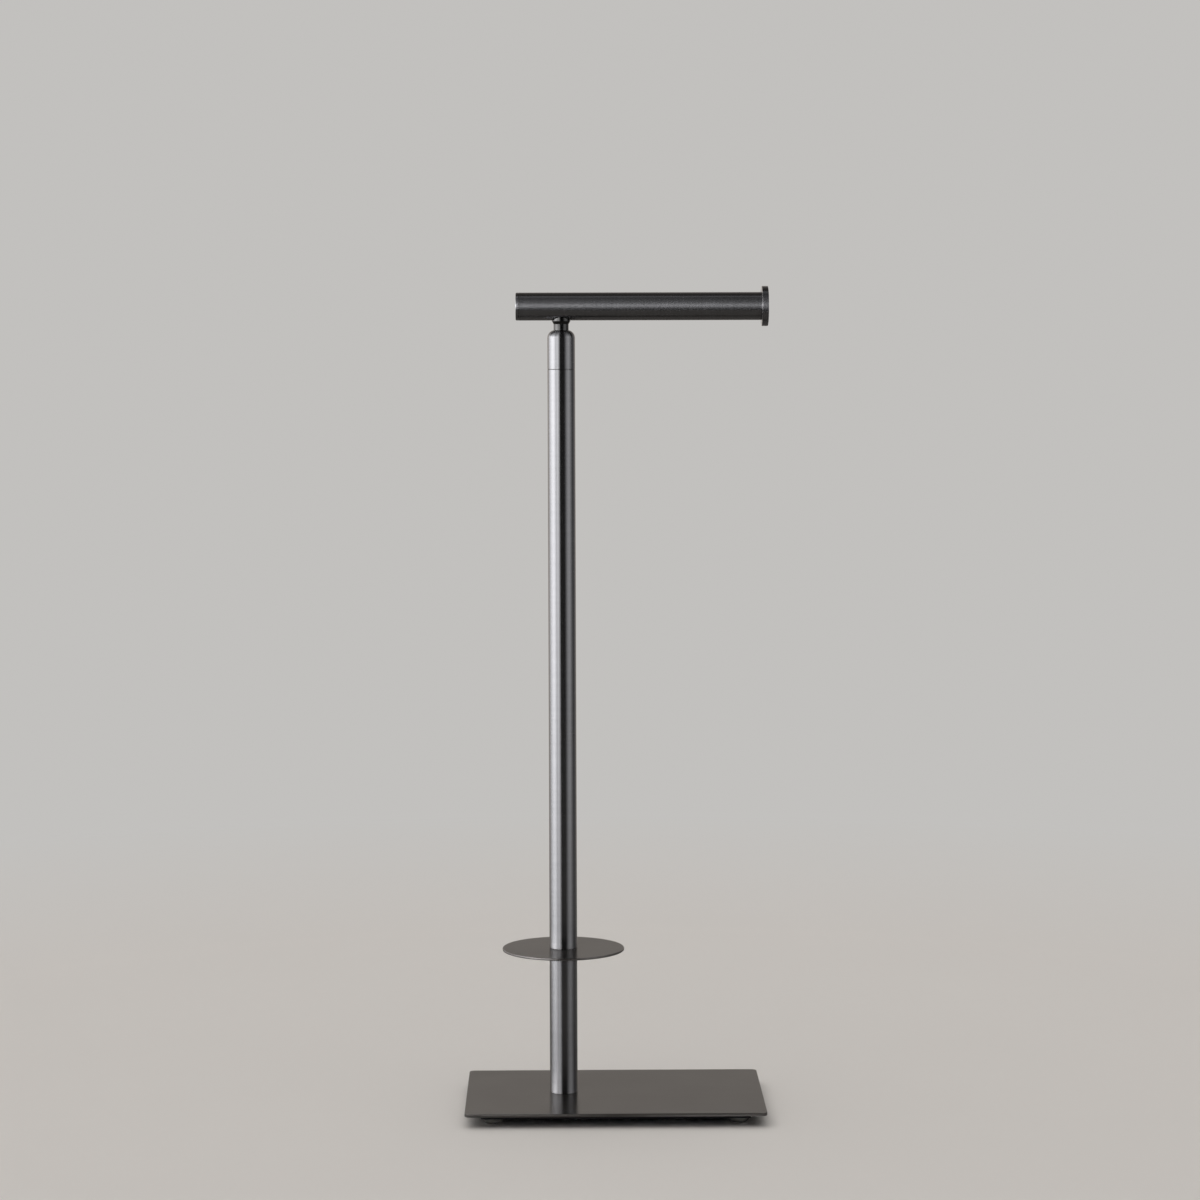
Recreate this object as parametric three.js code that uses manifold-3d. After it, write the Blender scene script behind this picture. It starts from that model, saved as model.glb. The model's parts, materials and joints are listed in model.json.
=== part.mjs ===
// Free-standing toilet paper holder: a weighted base plate, a post with a tray for
// spare rolls, and a tubular arm that turns on a lift-off head.
// Millimetres, +Z up. The origin is on the floor, under the middle of the overall box.
import * as THREE from 'three';
import { mergeVertices } from 'three/addons/utils/BufferGeometryUtils.js';
import Module from 'manifold-3d';

const wasm = await Module();
wasm.setup();

// ---- Driving dimensions ----
const SIDES = 48; // flats round a tube
const HIDDEN_SIDES = 24; // flats round a piece inside it
const GAP = 0.3; // running and fitting clearance, on the radius

const BASE_LENGTH = 268;
const BASE_WIDTH = 176;
const BASE_THICK = 3;
const BASE_CORNER = 5;
const POST_INSET = 88; // post axis from the left, front and back edges

const BALLAST_INSET = 14;
const BALLAST_THICK = 5;
const BALLAST_CORNER = 3;
const BALLAST_SCREW_INSET = 40; // from the edges of the base plate

const FOOT_RADIUS = 9;
const FOOT_HEIGHT = 5;
const FOOT_INSET = 24; // from the edges of the base plate

const TUBE_RADIUS = 12.5;
const TUBE_WALL = 1.5;
const LOWER_TUBE_LENGTH = 130.5;
const UPPER_TUBE_LENGTH = 522.5;
const INSERT_LENGTH = 20;
const STUD_RADIUS = 4;

const TRAY_RADIUS = 55;
const TRAY_THICK = 2;

const CAP_HEIGHT = 35;
const CAP_SHOULDER = 7; // radius of the rounded shoulder
const SPIGOT_RADIUS = 9.2;
const SPIGOT_LENGTH = 36;
const SOCKET_LENGTH = 42;

const NECK_RADIUS = 6.75;
const COLLAR_RADIUS = 8.3;
const COLLAR_HEIGHT = 3; // from the underside of the arm
const NECK_SHOWING = 5.5; // below the collar
const PIN_RADIUS = 5;

const ARM_LEFT = -40.7; // free end, from the post axis
const ARM_RIGHT = 179; // inner face of the end flange, from the post axis
const END_CAP_THICK = 3;
const FLANGE_RADIUS = 17.9;
const FLANGE_THICK = 5.8;

// ---- Heights and places worked out from them ----
const BORE_RADIUS = TUBE_RADIUS - TUBE_WALL;
const INSERT_RADIUS = BORE_RADIUS - GAP;
const POST_X = (POST_INSET - ARM_RIGHT - FLANGE_THICK) / 2;
const BASE_MID_X = POST_X - POST_INSET + BASE_LENGTH / 2;

const Z_BALLAST = FOOT_HEIGHT;
const Z_BASE = Z_BALLAST + BALLAST_THICK;
const Z_LOWER_TUBE = Z_BASE + BASE_THICK;
const Z_TRAY = Z_LOWER_TUBE + LOWER_TUBE_LENGTH;
const Z_UPPER_TUBE = Z_TRAY + TRAY_THICK;
const Z_CAP = Z_UPPER_TUBE + UPPER_TUBE_LENGTH;
const Z_SHOULDER = Z_CAP + CAP_HEIGHT - CAP_SHOULDER;
const Z_NECK = Z_CAP + CAP_HEIGHT;
const Z_ARM_UNDERSIDE = Z_NECK + NECK_SHOWING + COLLAR_HEIGHT;
const Z_ARM = Z_ARM_UNDERSIDE + TUBE_RADIUS;

// ---- Finishes ----
const FINISHES = {
  gunmetal: { color: 0x66625e, roughness: 0.38, metalness: 1 },
  polished: { color: 0x5a5855, roughness: 0.15, metalness: 1 },
  blackPaint: { color: 0x151515, roughness: 0.6, metalness: 0 },
  rubber: { color: 0x1b1b1b, roughness: 0.85, metalness: 0 },
  zinc: { color: 0xa9adb2, roughness: 0.35, metalness: 1 },
  steel: { color: 0x8f8f8f, roughness: 0.45, metalness: 1 },
  nylon: { color: 0xd9d6cc, roughness: 0.6, metalness: 0 },
  bumper: { color: 0xb4b4ae, roughness: 0.3, metalness: 0 },
};

const holder = new THREE.Group();
holder.name = 'toilet_paper_holder';

// ---- Shaping helpers ----
function welded(geometry) {
  const plain = geometry.clone();
  plain.deleteAttribute('normal');
  plain.deleteAttribute('uv');
  return mergeVertices(plain.index ? plain.toNonIndexed() : plain, 1e-4);
}

// Signed volume; negative means the faces look inwards.
function volume(geometry) {
  const at = geometry.attributes.position;
  const index = geometry.index.array;
  const a = new THREE.Vector3();
  const b = new THREE.Vector3();
  const c = new THREE.Vector3();
  let sum = 0;
  for (let i = 0; i < index.length; i += 3) {
    a.fromBufferAttribute(at, index[i]);
    b.fromBufferAttribute(at, index[i + 1]);
    c.fromBufferAttribute(at, index[i + 2]);
    sum += a.dot(b.cross(c)) / 6;
  }
  return sum;
}

function outward(geometry) {
  if (volume(geometry) < 0) {
    const index = geometry.index.array;
    for (let i = 0; i < index.length; i += 3) {
      const first = index[i];
      index[i] = index[i + 1];
      index[i + 1] = first;
    }
  }
  return geometry;
}

// Drops the zero-area triangles a lathe leaves along its axis.
function withoutSlivers(geometry) {
  const index = geometry.index.array;
  const kept = [];
  for (let i = 0; i < index.length; i += 3) {
    const [a, b, c] = [index[i], index[i + 1], index[i + 2]];
    if (a !== b && b !== c && c !== a) {
      kept.push(a, b, c);
    }
  }
  geometry.setIndex(kept);
  return geometry;
}

// Turns a profile of [radius, height] pairs about +Z.
function turned(profile, sides = SIDES) {
  const points = profile.map(([radius, height]) => new THREE.Vector2(radius, height));
  const onAxis = profile[0][0] === 0 && profile[profile.length - 1][0] === 0;
  if (!onAxis) {
    points.push(points[0].clone());
  }
  const geometry = new THREE.LatheGeometry(points, sides);
  geometry.rotateX(Math.PI / 2);
  return outward(withoutSlivers(welded(geometry)));
}

// The same about +X.
function turnedAlongX(profile, sides = SIDES) {
  const geometry = turned(profile, sides);
  geometry.rotateY(Math.PI / 2);
  return geometry;
}

function ring(inner, outer, low, high, sides = SIDES) {
  return turned([[inner, low], [outer, low], [outer, high], [inner, high]], sides);
}

function rod(radius, low, high, sides = SIDES) {
  return turned([[0, low], [radius, low], [radius, high], [0, high]], sides);
}

// Points of an arc from one angle to another, in degrees.
function arc(centreR, centreZ, radius, from, to, steps) {
  const points = [];
  for (let i = 0; i <= steps; i += 1) {
    const angle = THREE.MathUtils.degToRad(from + ((to - from) * i) / steps);
    points.push([centreR + radius * Math.cos(angle), centreZ + radius * Math.sin(angle)]);
  }
  return points;
}

function roundedPlate(length, width, corner, thick) {
  const x = length / 2;
  const y = width / 2;
  const shape = new THREE.Shape();
  shape.moveTo(-x + corner, -y);
  shape.lineTo(x - corner, -y);
  shape.absarc(x - corner, -y + corner, corner, -Math.PI / 2, 0, false);
  shape.lineTo(x, y - corner);
  shape.absarc(x - corner, y - corner, corner, 0, Math.PI / 2, false);
  shape.lineTo(-x + corner, y);
  shape.absarc(-x + corner, y - corner, corner, Math.PI / 2, Math.PI, false);
  shape.lineTo(-x, -y + corner);
  shape.absarc(-x + corner, -y + corner, corner, Math.PI, Math.PI * 1.5, false);
  const geometry = new THREE.ExtrudeGeometry(shape, {
    depth: thick,
    bevelEnabled: false,
    curveSegments: 5,
  });
  return outward(withoutSlivers(welded(geometry)));
}

function solid(geometry) {
  return new wasm.Manifold(
    new wasm.Mesh({
      numProp: 3,
      vertProperties: new Float32Array(geometry.attributes.position.array),
      triVerts: new Uint32Array(geometry.index.array),
    }),
  );
}

function surface(body) {
  const mesh = body.getMesh();
  const geometry = new THREE.BufferGeometry();
  geometry.setAttribute('position', new THREE.BufferAttribute(mesh.vertProperties, 3));
  geometry.setIndex(new THREE.BufferAttribute(mesh.triVerts, 1));
  return geometry;
}

function cut(geometry, tools) {
  let body = solid(geometry);
  for (const tool of tools) {
    body = body.subtract(solid(tool));
  }
  return surface(body);
}

function moved(geometry, x, y, z) {
  const copy = geometry.clone();
  copy.translate(x, y, z);
  return copy;
}

function add(name, finish, geometry, x = 0, y = 0, z = 0) {
  const mesh = new THREE.Mesh(geometry, new THREE.MeshStandardMaterial(FINISHES[finish]));
  mesh.name = name;
  mesh.position.set(x, y, z);
  holder.add(mesh);
}

function fourCorners(inset) {
  const x = BASE_LENGTH / 2 - inset;
  const y = BASE_WIDTH / 2 - inset;
  return [[-x, -y], [x, -y], [x, y], [-x, y]];
}

// ---- Base plate ----
// Blind holes underneath take the ballast screws, so the top shows nothing but the post.
const SCREW_RADIUS = 2;
const SCREW_BITE = 2.2;
const postFromMiddle = POST_X - BASE_MID_X;
const blindHole = rod(SCREW_RADIUS + GAP, -1, SCREW_BITE + GAP, 16);
const postHole = rod(STUD_RADIUS + GAP, -1, BASE_THICK + 1, HIDDEN_SIDES);
add(
  'base_plate',
  'gunmetal',
  cut(roundedPlate(BASE_LENGTH, BASE_WIDTH, BASE_CORNER, BASE_THICK), [
    moved(postHole, postFromMiddle, 0, 0),
    ...fourCorners(BALLAST_SCREW_INSET).map(([x, y]) => moved(blindHole, x, y, 0)),
  ]),
  BASE_MID_X,
  0,
  Z_BASE,
);

// ---- Ballast plate ----
const SCREW_HEAD_RADIUS = 4;
const SCREW_HEAD_HEIGHT = 2.4;
const sink = turned(
  [
    [0, -1],
    [SCREW_HEAD_RADIUS + GAP, -1],
    [SCREW_HEAD_RADIUS + GAP, GAP],
    [SCREW_RADIUS + GAP, SCREW_HEAD_HEIGHT + GAP],
    [SCREW_RADIUS + GAP, BALLAST_THICK + 1],
    [0, BALLAST_THICK + 1],
  ],
  16,
);
const BOLT_HEAD_RADIUS = 6.5;
const BOLT_HEAD_HEIGHT = 3.2;
const WASHER_RADIUS = 8;
const WASHER_THICK = 1.4;
const boltPocket = rod(WASHER_RADIUS + GAP, -1, BALLAST_THICK + 1, HIDDEN_SIDES);
add(
  'ballast_plate',
  'blackPaint',
  cut(
    roundedPlate(
      BASE_LENGTH - 2 * BALLAST_INSET,
      BASE_WIDTH - 2 * BALLAST_INSET,
      BALLAST_CORNER,
      BALLAST_THICK,
    ),
    [
      moved(boltPocket, postFromMiddle, 0, 0),
      ...fourCorners(BALLAST_SCREW_INSET).map(([x, y]) => moved(sink, x, y, 0)),
    ],
  ),
  BASE_MID_X,
  0,
  Z_BALLAST,
);

// ---- Ballast screws, countersunk, with a socket in the head ----
const SOCKET_RADIUS = 1.45;
const ballastScrew = turned(
  [
    [0, 1.4],
    [SOCKET_RADIUS, 1.4],
    [SOCKET_RADIUS, 0.2],
    [SCREW_HEAD_RADIUS, 0.2],
    [SCREW_RADIUS, SCREW_HEAD_HEIGHT],
    [SCREW_RADIUS, BALLAST_THICK + SCREW_BITE],
    [0, BALLAST_THICK + SCREW_BITE],
  ],
  16,
);
fourCorners(BALLAST_SCREW_INSET).forEach(([x, y], i) => {
  add(`ballast_screw_${i + 1}`, 'zinc', ballastScrew.clone(), BASE_MID_X + x, y, Z_BALLAST);
});

// ---- Feet: domed bumpers with a flat sole ----
const FOOT_ROUND = 4.6;
const foot = turned(
  [
    [0, 0],
    ...arc(FOOT_RADIUS - FOOT_ROUND, FOOT_ROUND, FOOT_ROUND, -90, 0, 6),
    [FOOT_RADIUS, FOOT_HEIGHT],
    [0, FOOT_HEIGHT],
  ],
  HIDDEN_SIDES,
);
fourCorners(FOOT_INSET).forEach(([x, y], i) => {
  add(`foot_${i + 1}`, 'bumper', foot.clone(), BASE_MID_X + x, y, 0);
});

// ---- Bolt that draws the post down on the base ----
const BOLT_REACH = 14; // above the base plate
const zBoltSeat = Z_BASE - WASHER_THICK;
const zBoltLow = zBoltSeat - BOLT_HEAD_HEIGHT;
add(
  'post_bolt_washer',
  'zinc',
  ring(STUD_RADIUS + GAP, WASHER_RADIUS, zBoltSeat, zBoltSeat + WASHER_THICK, HIDDEN_SIDES),
  POST_X,
);
add(
  'post_bolt',
  'zinc',
  turned(
    [
      [0, zBoltSeat - 1.2],
      [2.5, zBoltSeat - 1.2],
      [2.5, zBoltLow],
      [BOLT_HEAD_RADIUS - 0.5, zBoltLow],
      [BOLT_HEAD_RADIUS, zBoltLow + 0.5],
      [BOLT_HEAD_RADIUS, zBoltSeat],
      [STUD_RADIUS, zBoltSeat],
      [STUD_RADIUS, Z_LOWER_TUBE + BOLT_REACH - 0.6],
      [STUD_RADIUS - 0.6, Z_LOWER_TUBE + BOLT_REACH],
      [0, Z_LOWER_TUBE + BOLT_REACH],
    ],
    HIDDEN_SIDES,
  ),
  POST_X,
);

// ---- Lower tube, with a threaded insert in each end ----
function plug(low) {
  return ring(STUD_RADIUS + GAP, INSERT_RADIUS, low, low + INSERT_LENGTH, HIDDEN_SIDES);
}

add('lower_tube', 'gunmetal', ring(BORE_RADIUS, TUBE_RADIUS, Z_LOWER_TUBE, Z_TRAY), POST_X);
add(
  'lower_tube_foot_insert',
  'steel',
  plug(Z_LOWER_TUBE),
  POST_X,
);
add(
  'lower_tube_head_insert',
  'steel',
  plug(Z_TRAY - INSERT_LENGTH),
  POST_X,
);

// ---- Tray for spare rolls, clamped between the two tubes ----
const EDGE = 0.4;
add(
  'spare_roll_tray',
  'gunmetal',
  turned(
    [
      [STUD_RADIUS + GAP, Z_TRAY],
      [TRAY_RADIUS - EDGE, Z_TRAY],
      [TRAY_RADIUS, Z_TRAY + EDGE],
      [TRAY_RADIUS, Z_UPPER_TUBE - EDGE],
      [TRAY_RADIUS - EDGE, Z_UPPER_TUBE],
      [STUD_RADIUS + GAP, Z_UPPER_TUBE],
    ],
    72,
  ),
  POST_X,
);
const STUD_REACH = 16; // into each insert
add(
  'tray_stud',
  'zinc',
  rod(STUD_RADIUS, Z_TRAY - STUD_REACH, Z_UPPER_TUBE + STUD_REACH, HIDDEN_SIDES),
  POST_X,
);

// ---- Upper tube ----
add('upper_tube', 'gunmetal', ring(BORE_RADIUS, TUBE_RADIUS, Z_UPPER_TUBE, Z_CAP), POST_X);
add(
  'upper_tube_foot_insert',
  'steel',
  plug(Z_UPPER_TUBE),
  POST_X,
);
add(
  'socket_bush',
  'nylon',
  ring(SPIGOT_RADIUS + GAP, INSERT_RADIUS, Z_CAP - SOCKET_LENGTH, Z_CAP - GAP, SIDES),
  POST_X,
);

// ---- Head cap: a rounded shoulder above the seam, a hollow spigot below it ----
const BUSH_RADIUS = 6;
const BUSH_FLANGE_THICK = 1;
const Z_WEB_TOP = Z_NECK - 3.6;
const Z_WEB_LOW = Z_WEB_TOP - 16;
const SPIGOT_BORE = 7.2;
const RING_GROOVE_DEPTH = 1;
const RING_WIDTH = 1.8;
const zSpigotEnd = Z_CAP - SPIGOT_LENGTH;
const zGrooves = [zSpigotEnd + 6, Z_CAP - 9];
const shoulderArc = arc(TUBE_RADIUS - CAP_SHOULDER, Z_SHOULDER, CAP_SHOULDER, 0, 76, 7);
const mouth = NECK_RADIUS + GAP;
add(
  'head_cap',
  'gunmetal',
  turned([
    [SPIGOT_BORE, zSpigotEnd],
    [SPIGOT_RADIUS - 0.6, zSpigotEnd],
    [SPIGOT_RADIUS, zSpigotEnd + 0.6],
    ...zGrooves.flatMap((z) => [
      [SPIGOT_RADIUS, z],
      [SPIGOT_RADIUS - RING_GROOVE_DEPTH, z],
      [SPIGOT_RADIUS - RING_GROOVE_DEPTH, z + RING_WIDTH],
      [SPIGOT_RADIUS, z + RING_WIDTH],
    ]),
    [SPIGOT_RADIUS, Z_CAP],
    [TUBE_RADIUS - 0.25, Z_CAP],
    [TUBE_RADIUS, Z_CAP + 0.25],
    ...shoulderArc,
    [mouth, shoulderArc[shoulderArc.length - 1][1] + 0.05],
    [mouth, Z_WEB_TOP],
    [BUSH_RADIUS + GAP, Z_WEB_TOP],
    [BUSH_RADIUS + GAP, Z_WEB_LOW],
    [SPIGOT_BORE, Z_WEB_LOW],
  ]),
  POST_X,
);
zGrooves.forEach((z, i) => {
  add(
    `spigot_ring_${i + 1}`,
    'rubber',
    ring(
      SPIGOT_RADIUS - RING_GROOVE_DEPTH + 0.1,
      SPIGOT_RADIUS + 0.1,
      z + 0.2,
      z + RING_WIDTH - 0.2,
    ),
    POST_X,
  );
});

// ---- Bearing for the neck ----
add(
  'neck_bush',
  'nylon',
  turned(
    [
      [PIN_RADIUS + GAP, Z_WEB_LOW],
      [BUSH_RADIUS, Z_WEB_LOW],
      [BUSH_RADIUS, Z_WEB_TOP],
      [NECK_RADIUS, Z_WEB_TOP],
      [NECK_RADIUS, Z_WEB_TOP + BUSH_FLANGE_THICK],
      [PIN_RADIUS + GAP, Z_WEB_TOP + BUSH_FLANGE_THICK],
    ],
    HIDDEN_SIDES,
  ),
  POST_X,
);
const KEEPER_RADIUS = 6.8;
add(
  'friction_washer',
  'nylon',
  ring(PIN_RADIUS + GAP, KEEPER_RADIUS, Z_WEB_LOW - 1, Z_WEB_LOW, HIDDEN_SIDES),
  POST_X,
);

// ---- Neck pin: turns in the bush and screws up into the arm ----
const zPinSeat = Z_WEB_TOP + BUSH_FLANGE_THICK + GAP;
const zPinEnd = Z_WEB_LOW - 1 - GAP;
const KEEPER_BORE = 3;
const STUD_TOP = Z_ARM + 1;
const collarLow = Z_ARM_UNDERSIDE - COLLAR_HEIGHT;
const neck = turned([
  [0, zPinEnd + 14],
  [KEEPER_BORE, zPinEnd + 14],
  [KEEPER_BORE, zPinEnd],
  [PIN_RADIUS, zPinEnd],
  [PIN_RADIUS, zPinSeat],
  [NECK_RADIUS, zPinSeat],
  [NECK_RADIUS, collarLow],
  [COLLAR_RADIUS, Z_ARM_UNDERSIDE - 0.6],
  [COLLAR_RADIUS, Z_ARM_UNDERSIDE + 3],
  [STUD_RADIUS, Z_ARM_UNDERSIDE + 3],
  [STUD_RADIUS, STUD_TOP],
  [0, STUD_TOP],
]);
// The collar's top is hollowed to sit against the round underside of the arm.
const armShape = turnedAlongX([
  [0, -20],
  [TUBE_RADIUS + GAP, -20],
  [TUBE_RADIUS + GAP, 20],
  [0, 20],
]);
const aroundStud = ring(STUD_RADIUS, 20, Z_ARM_UNDERSIDE - 6, Z_ARM + 20);
const saddle = surface(solid(moved(armShape, 0, 0, Z_ARM)).intersect(solid(aroundStud)));
add('neck_pin', 'polished', cut(neck, [saddle]), POST_X);

const KEEPER_THICK = 1.5;
const zKeeper = zPinEnd - KEEPER_THICK;
add(
  'retaining_washer',
  'zinc',
  ring(KEEPER_BORE, KEEPER_RADIUS, zKeeper, zPinEnd, HIDDEN_SIDES),
  POST_X,
);
add(
  'retaining_screw',
  'zinc',
  turned(
    [
      [0, zKeeper - 1.6],
      [1.6, zKeeper - 1.6],
      [1.6, zKeeper - 4],
      [4.6, zKeeper - 4],
      [5, zKeeper - 3.6],
      [5, zKeeper],
      [KEEPER_BORE - GAP, zKeeper],
      [KEEPER_BORE - GAP, zKeeper + 13],
      [0, zKeeper + 13],
    ],
    HIDDEN_SIDES,
  ),
  POST_X,
);

// ---- Arm: one tube across the top of the post ----
const tubeLeft = ARM_LEFT + END_CAP_THICK;
const armTube = turnedAlongX([
  [BORE_RADIUS, tubeLeft],
  [TUBE_RADIUS, tubeLeft],
  [TUBE_RADIUS, ARM_RIGHT],
  [BORE_RADIUS, ARM_RIGHT],
]);
const neckHole = rod(STUD_RADIUS + GAP, -TUBE_RADIUS - 2, -5, HIDDEN_SIDES);
add('arm_tube', 'gunmetal', cut(armTube, [neckHole]), POST_X, 0, Z_ARM);

const saddleBlock = turnedAlongX([
  [0, -13],
  [INSERT_RADIUS, -13],
  [INSERT_RADIUS, 13],
  [0, 13],
]);
const blockTop = roundedPlate(40, 40, 1, 20);
const blockHole = rod(STUD_RADIUS + GAP, -20, 20, HIDDEN_SIDES);
add(
  'saddle_nut',
  'steel',
  cut(saddleBlock, [moved(blockTop, 0, 0, 3), blockHole]),
  POST_X,
  0,
  Z_ARM,
);

// ---- End cap: closes the free end flush with the tube, with a rounded outer rim ----
const CAP_RIM = 0.9;
const capRim = arc(TUBE_RADIUS - CAP_RIM, 0, CAP_RIM, 90, 0, 4).map(([r, along]) => [
  r,
  ARM_LEFT + CAP_RIM - along,
]);
add(
  'arm_end_cap',
  'gunmetal',
  turnedAlongX([
    [0, ARM_LEFT],
    ...capRim,
    [TUBE_RADIUS, tubeLeft - 0.2],
    [TUBE_RADIUS - 0.2, tubeLeft],
    [INSERT_RADIUS, tubeLeft],
    [INSERT_RADIUS, tubeLeft + 9],
    [INSERT_RADIUS - 1.5, tubeLeft + 9],
    [INSERT_RADIUS - 1.5, tubeLeft],
    [0, tubeLeft],
  ]),
  POST_X,
  0,
  Z_ARM,
);

// ---- End flange: the stop that keeps the roll on, with a plug inside the tube ----
const FLANGE_EDGE = 0.6;
add(
  'end_flange',
  'gunmetal',
  turnedAlongX([
    [0, ARM_RIGHT - 14],
    [INSERT_RADIUS - 2, ARM_RIGHT - 14],
    [INSERT_RADIUS, ARM_RIGHT - 12],
    [INSERT_RADIUS, ARM_RIGHT],
    [FLANGE_RADIUS - FLANGE_EDGE, ARM_RIGHT],
    [FLANGE_RADIUS, ARM_RIGHT + FLANGE_EDGE],
    [FLANGE_RADIUS, ARM_RIGHT + FLANGE_THICK - FLANGE_EDGE],
    [FLANGE_RADIUS - FLANGE_EDGE, ARM_RIGHT + FLANGE_THICK],
    [0, ARM_RIGHT + FLANGE_THICK],
  ]),
  POST_X,
  0,
  Z_ARM,
);

export default holder;
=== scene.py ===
# %% [markdown]
# # A free-standing toilet paper holder
#
# The object is a weighted rectangular plate, a slim round post with a disc for
# spare rolls, and a short tube across the top that carries the roll in use. All
# of it is brushed steel with a dark grey coating, apart from a polished neck
# under the arm, and the black weight and the clear feet below the plate.
#
# The engineering model is loaded first and never touched. Every piece that can
# be seen is then modelled again here with finer edges, laid exactly over the
# engineering piece it stands for, and given its finish.

import json
import math

import bmesh
import bpy
from mathutils import Matrix, Vector


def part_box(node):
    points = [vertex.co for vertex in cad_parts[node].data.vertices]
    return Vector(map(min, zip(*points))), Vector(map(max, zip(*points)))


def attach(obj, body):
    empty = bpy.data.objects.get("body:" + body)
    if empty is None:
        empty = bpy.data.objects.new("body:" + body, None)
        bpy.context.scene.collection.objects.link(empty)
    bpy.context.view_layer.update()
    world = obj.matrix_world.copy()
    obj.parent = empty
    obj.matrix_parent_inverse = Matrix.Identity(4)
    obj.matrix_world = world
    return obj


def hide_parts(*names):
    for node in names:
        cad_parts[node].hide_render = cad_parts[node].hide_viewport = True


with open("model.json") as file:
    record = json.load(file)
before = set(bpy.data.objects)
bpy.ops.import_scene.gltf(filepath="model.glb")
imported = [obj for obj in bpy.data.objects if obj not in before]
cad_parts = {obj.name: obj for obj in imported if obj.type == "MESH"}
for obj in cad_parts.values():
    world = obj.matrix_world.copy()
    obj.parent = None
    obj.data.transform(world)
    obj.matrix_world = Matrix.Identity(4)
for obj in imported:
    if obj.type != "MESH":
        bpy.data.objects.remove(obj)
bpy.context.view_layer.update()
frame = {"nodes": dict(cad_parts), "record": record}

# %% [markdown]
# ## Places and sizes
#
# Nothing is typed in twice. The engineering nodes know where everything is, so
# the main axes and radii are read from their boxes and given plain names.

# %% Read places and sizes from the frame
MM = 0.001


def low(node):
    return Vector(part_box(node)[0])


def high(node):
    return Vector(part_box(node)[1])


def middle(node):
    return (low(node) + high(node)) / 2


def size(node):
    return high(node) - low(node)


POST = middle("upper_tube")
ARM = middle("arm_tube")
TUBE_RADIUS = size("upper_tube").x / 2
WALL = 1.5 * MM
BORE_RADIUS = TUBE_RADIUS - WALL
GAP = 0.3 * MM
print("post axis", POST.x, POST.y, "tube radius", TUBE_RADIUS, "arm height", ARM.z)

# %% [markdown]
# ## Workbench helpers
#
# Blender's operators act on whatever is selected, so each piece starts with an
# empty selection. `pick` then selects faces or edges by a test on their place,
# which is what a hand would do with the mouse.

# %% Selecting and applying
ROUND_STEPS = 128
SHARP_FROM = 40
SMOOTH_BELOW = 35


def clear_bench():
    """Leaves edit mode and deselects everything."""
    if bpy.context.object and bpy.context.object.mode != "OBJECT":
        bpy.ops.object.mode_set(mode="OBJECT")
    bpy.ops.object.select_all(action="DESELECT")


def start(name, add_primitive, **options):
    """Adds a primitive, alone on the bench, under its own name."""
    clear_bench()
    add_primitive(**options)
    piece = bpy.context.object
    piece.name = name
    piece.data.name = name
    return piece


def pick(piece, kind, test):
    """Selects the faces or edges that pass a test, and stays in edit mode."""
    bpy.ops.object.mode_set(mode="EDIT")
    bpy.ops.mesh.select_mode(type=kind)
    bpy.ops.mesh.select_all(action="DESELECT")
    mesh = bmesh.from_edit_mesh(piece.data)
    parts = mesh.faces if kind == "FACE" else mesh.edges
    for part in parts:
        part.select_set(bool(test(part)))
    mesh.select_flush_mode()
    bmesh.update_edit_mesh(piece.data)


def apply_modifier(piece, kind, **settings):
    """Adds one modifier with its settings and applies it at once."""
    clear_bench()
    bpy.context.view_layer.objects.active = piece
    piece.select_set(True)
    change = piece.modifiers.new(kind.lower(), kind)
    for key, value in settings.items():
        setattr(change, key, value)
    bpy.ops.object.modifier_apply(modifier=change.name)


def cut_away(piece, cutter):
    """Subtracts the cutter from the piece and throws the cutter away."""
    apply_modifier(piece, "BOOLEAN", operation="DIFFERENCE", object=cutter, solver="EXACT")
    bpy.data.objects.remove(cutter)


def soften(piece, width, segments=3):
    """Rounds every edge that turns sharply, as a real edge is."""
    apply_modifier(
        piece,
        "BEVEL",
        width=width,
        segments=segments,
        limit_method="ANGLE",
        angle_limit=math.radians(SHARP_FROM),
        use_clamp_overlap=True,
    )


def place(piece, centre, along="Z"):
    """Turns a piece made about +Z to its axis, moves it, and applies both to the mesh."""
    clear_bench()
    bpy.context.view_layer.objects.active = piece
    piece.select_set(True)
    if along == "X":
        piece.rotation_euler = (0, math.pi / 2, 0)
    piece.location = centre
    bpy.ops.object.transform_apply(location=True, rotation=True, scale=True)
    return piece


# %% [markdown]
# ## Turning
#
# Most of this object was made on a lathe or rolled as tube. Digitally the same
# thing is done by drawing half of the section, one point after another, and
# spinning it round the axis. It gives clean rings of faces that follow the real
# turning marks. Stacking cylinders would leave hidden walls inside.

# %% The lathe
def drawn_section(name, section):
    """Draws an open line through (radius, height) points by pulling out one vertex."""
    piece = start(name, bpy.ops.mesh.primitive_plane_add, size=1 * MM)
    bpy.ops.object.mode_set(mode="EDIT")
    bpy.ops.mesh.select_mode(type="VERT")
    bpy.ops.mesh.select_all(action="SELECT")
    bpy.ops.mesh.merge(type="CENTER")
    bpy.ops.transform.translate(value=(section[0][0], 0, section[0][1]))
    for before, after in zip(section, section[1:]):
        step = (after[0] - before[0], 0, after[1] - before[1])
        bpy.ops.mesh.extrude_vertices_move(TRANSFORM_OT_translate={"value": step})
    return piece


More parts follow.
